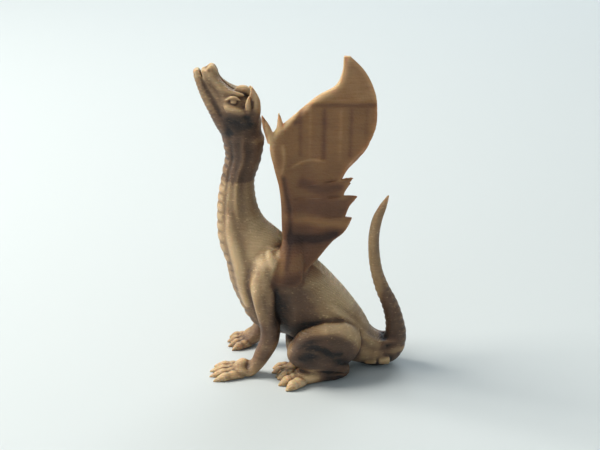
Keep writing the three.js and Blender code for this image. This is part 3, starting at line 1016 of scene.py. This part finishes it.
# Painted light on the breast, shoulders and rump, and painted shade on the upper foreleg, armpit and
# top of the tail.
tone_and_painted_light -= 0.21 * neck_band * on_body
tone_and_painted_light += 0.04 * breast
tone_and_painted_light += 0.17 * shoulder_painted_light * on_body
tone_and_painted_light -= 0.1 * upper_foreleg_painted_shade * on_body
tone_and_painted_light -= 0.3 * armpit_painted_shade * on_body
tone_and_painted_light += 0.13 * rump_painted_light * on_body
tone_and_painted_light -= 0.1 * tail_top_painted_shade * on_body
# Painted shade: the elbows, wrists, far forepaw, the hollow under the jaw, the bend of the tail and the
# tail's underside are painted darker.
elbows_painted_shade = fade(x, -30, -20) * (1 - fade(x, -12, 4)) * fade(z, 34, 26) * fade(z, 8, 12)
wrists_painted_shade = fade(x, -24, -20) * fade(x, -8, -10) * fade(z, 28, 20) * fade(z, 5, 9)
far_forepaw_painted_shade = fade(x, -15, -19) * fade(z, 12, 8) * (y > 5)
throat_painted_shade = fade(x, -35, -31) * fade(z, 129.5, 126) * fade(z, 112, 118) * fade(out, 4, 6)
tail_bend_painted_shade = fade(x, 36, 39) * fade(z, 9, 14) * fade(z, 58, 30)
tail_underside_painted_shade = fade(x, 25, 30) * fade(z, 11, 7) * fade(out, 7.2, 6.7)
tone_and_painted_light -= 0.12 * elbows_painted_shade
tone_and_painted_light -= 0.1 * wrists_painted_shade
tone_and_painted_light -= 0.1 * far_forepaw_painted_shade
tone_and_painted_light -= 0.2 * throat_painted_shade * (x < -15)
tone_and_painted_light -= 0.3 * tail_bend_painted_shade
tone_and_painted_light -= 0.32 * tail_underside_painted_shade
# The haunch is painted darkest, painted shade over an oval in x and z. The hind foot under it is
# painted paler, as painted light.
from_haunch = ((x - 11) / 17) ** 2 + (np.maximum(z - 15, 0) / 12) ** 2
haunch_painted_shade = fade(from_haunch, 1.1, 0.6) * fade(out, 6, 11)
hind_foot_painted_light = fade(z, 11, 8.5) * fade(x, 13, 7)
tone_and_painted_light -= 0.42 * haunch_painted_shade * (1 - hind_foot_painted_light)
tone_and_painted_light += 0.14 * hind_foot_painted_light * fade(x, -8, -4) * (out > 5)
# The cord on the breast is painted pale as a painted highlight on its ridge, and the jaw painted dark
# as painted shade.
from_cord = to_line(x, z, [(cord_x, cord_z) for cord_x, _, cord_z in BREAST_CORD])
cord = hump(from_cord, 0, 2.6) * fade(z, 78, 60) * fade(out, 4, 7)
from_jaw = to_line(x, z, [(jaw_x, jaw_z) for jaw_x, _, jaw_z, _, _ in LOWER_JAW])
tone_and_painted_light += 0.2 * cord * on_body
tone_and_painted_light -= 0.09 * hump(from_jaw, 0, 3.2) * fade(z, 144, 138)
# A wing is painted pale at its top, its edges and its claws, as painted light glowing through and
# catching them, and painted darker low down as painted shade. Its folds are paler or darker by how far
# they stand out: partly painted light and shade on their slopes, partly the print's infill lines seen
# through the thin skin.
low_wing_painted_shade = fade(z, 94, 82)
high_wing_painted_light = 0.05 * fade(z, 100, 112) + 0.08 * fade(z, 128, 134)
tone_and_painted_light += on_wing * (high_wing_painted_light - 0.15 * low_wing_painted_shade)
# Painted light and shade on each root lobe: paler on its top, darker low down.
tone_and_painted_light += on_root * (0.14 * fade(root_z, 52, 57) - 0.12 * fade(root_z, 54, 49))
arm_painted_highlight = 0.12 + 0.24 * fade(z, 104, 118)
tone_and_painted_light += on_wing * arm_painted_highlight * hump(to_line(x, z, WING_LEADING), 0, 1.9)
for _, _, line in WING_TRAILING:
    tone_and_painted_light += on_wing * 0.12 * hump(to_line(x, z, line), 0, 1.4)
for claw in WRIST_CLAWS:
    from_claw = to_line(x, z, [(claw_x, claw_z) for claw_x, claw_z, _ in claw[1:]])
    tone_and_painted_light += on_wing * 0.24 * hump(from_claw, 0, 2.2)
# Fold tones: painted light and shade on the folds' slopes, together with the infill lines seen through
# the skin.
for line, width, height in FOLDS:
    paler = 0.42 * np.clip(height, -0.7, 0.5)
    tone_and_painted_light += on_wing * paler * hump(to_line(x, z, line), 0, 1.2 * width)
attribute = mesh.attributes.new("tone_and_painted_light", "FLOAT", "POINT")
attribute.data.foreach_set("value", np.clip(tone_and_painted_light, 0, 1).astype(np.float32))
attribute = mesh.attributes.new("thin", "FLOAT", "POINT")
attribute.data.foreach_set("value", on_wing.astype(np.float32))

# Brown see-through PLA, laid down in 0.2 mm layers by a hot nozzle. Light sinks in and comes out again
# nearby, redder through the wings. The layers are too fine to show, so they are drawn coarser.
DRAWN_LAYER_MM = 0.6
# A wave texture of scale 1 has a wave every 2 pi / 20 of a unit.
LAYER_SCALE = 2 * math.pi / 20 / (DRAWN_LAYER_MM / 1000)
# How often each pattern repeats in a metre, along the layers and up across them.
STREAKS_PER_METRE = (90, 90, 1400)  # 11 mm long and 0.7 mm high
GLINTS_PER_METRE = (520, 520, 1500)  # 2 mm long and 0.7 mm high
CLOUDS_PER_METRE = 160.0  # 6 mm
GRAIN_PER_METRE = 1100.0  # 0.9 mm
STREAK_TONE = 0.13
CLOUD_TONE = 0.16
PAINTED_GLINT_TONE = 0.2
# Stops of tone and colour, for the body and for the thin skin of the wings. The wings' stops are
# redder, a painted glow of the light that shines through the thin skin.
BODY_COLOURS = [(0.0, "#1C1413"), (0.38, "#765944"), (0.6, "#AD8D68"), (0.85, "#DFC196")]
WING_PAINTED_GLOW_COLOURS = [(0.12, "#3F241A"), (0.4, "#7A5238"), (0.6, "#A2764C"), (0.85, "#DDB988")]
plastic = bpy.data.materials.new("printed_pla_brown")
plastic.use_nodes = True
tree = plastic.node_tree
tree.nodes.clear()
spot = add_node(tree, "ShaderNodeTexCoord").outputs["Object"]
tone_and_painted_light_value = add_node(tree, "ShaderNodeAttribute", {"attribute_name": "tone_and_painted_light"}).outputs["Fac"]
thin_value = add_node(tree, "ShaderNodeAttribute", {"attribute_name": "thin"}).outputs["Fac"]
# Streaks along the layers and soft clouds shift the tone both ways.
add, subtract = {"operation": "ADD"}, {"operation": "SUBTRACT"}
multiply_add = {"operation": "MULTIPLY_ADD"}
stretched = add_node(tree, "ShaderNodeMapping", Vector=spot, Scale=STREAKS_PER_METRE).outputs[0]
streaks = add_node(tree, "ShaderNodeTexNoise", Vector=stretched, Scale=1.0, Detail=3.0)
clouds = add_node(tree, "ShaderNodeTexNoise", Vector=spot, Scale=CLOUDS_PER_METRE, Detail=4.0)
streak_shift = add_node(
    tree,
    "ShaderNodeMath",
    multiply_add,
    _0=streaks.outputs["Fac"],
    _1=STREAK_TONE,
    _2=-STREAK_TONE / 2,
).outputs[0]
cloud_shift = add_node(
    tree,
    "ShaderNodeMath",
    multiply_add,
    _0=clouds.outputs["Fac"],
    _1=CLOUD_TONE,
    _2=-CLOUD_TONE / 2,
).outputs[0]
streaked = add_node(tree, "ShaderNodeMath", add, _0=tone_and_painted_light_value, _1=streak_shift).outputs[0]
clouded = add_node(tree, "ShaderNodeMath", add, _0=streaked, _1=cloud_shift).outputs[0]
# Short bright flecks lie along the layers, painted glints where light catches the layer edges, except
# on the wings.
glint_space = add_node(tree, "ShaderNodeMapping", Vector=spot, Scale=GLINTS_PER_METRE).outputs[0]
glint_noise = add_node(tree, "ShaderNodeTexNoise", Vector=glint_space, Scale=1.0, Detail=2.0)
painted_glints = add_node(
    tree,
    "ShaderNodeMapRange",
    Value=glint_noise.outputs["Fac"],
    From_Min=0.6,
    From_Max=0.74,
    To_Min=0.0,
    To_Max=PAINTED_GLINT_TONE,
).outputs[0]
thick = add_node(tree, "ShaderNodeMath", subtract, _0=1.0, _1=thin_value).outputs[0]
shade = add_node(
    tree, "ShaderNodeMath", multiply_add, _0=painted_glints, _1=thick, _2=clouded
).outputs[0]
body_ramp = add_node(tree, "ShaderNodeValToRGB", Fac=shade)
wing_painted_glow_ramp = add_node(tree, "ShaderNodeValToRGB", Fac=shade)
for ramp, colours in ((body_ramp, BODY_COLOURS), (wing_painted_glow_ramp, WING_PAINTED_GLOW_COLOURS)):
    stops = ramp.color_ramp.elements
    while len(stops) < len(colours):
        stops.new(0.5)
    for stop, (position, colour) in zip(stops, colours):
        stop.position = position
        stop.color = linear_colour(colour)
mixed = add_node(
    tree,
    "ShaderNodeMix",
    {"data_type": "RGBA"},
    Factor=thin_value,
    _6=body_ramp.outputs[0],
    _7=wing_painted_glow_ramp.outputs[0],
)
layers = add_node(
    tree,
    "ShaderNodeTexWave",
    {"wave_type": "BANDS", "bands_direction": "Z", "wave_profile": "SIN"},
    Vector=spot,
    Scale=LAYER_SCALE,
    Distortion=3.0,
    Detail=2.0,
    Detail_Scale=0.6,
).outputs["Fac"]
grain = add_node(tree, "ShaderNodeTexNoise", Vector=spot, Scale=GRAIN_PER_METRE, Detail=4.0)
layer_bump = add_node(tree, "ShaderNodeBump", Strength=0.5, Distance=0.0003, Height=layers)
bump = add_node(
    tree,
    "ShaderNodeBump",
    Strength=0.5,
    Distance=0.0005,
    Height=grain.outputs["Fac"],
    Normal=layer_bump.outputs[0],
)
surface = add_node(
    tree,
    "ShaderNodeBsdfPrincipled",
    {"subsurface_method": "RANDOM_WALK"},
    Base_Color=mixed.outputs[2],
    Roughness=0.42,
    IOR=1.46,
    Subsurface_Weight=0.6,
    Subsurface_Radius=(3.0, 1.5, 0.7),
    Subsurface_Scale=0.001,
    Normal=bump.outputs[0],
)
add_node(tree, "ShaderNodeOutputMaterial", Surface=surface.outputs[0])
mesh.materials.clear()
mesh.materials.append(plastic)
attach(dragon, "root")
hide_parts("dragon")
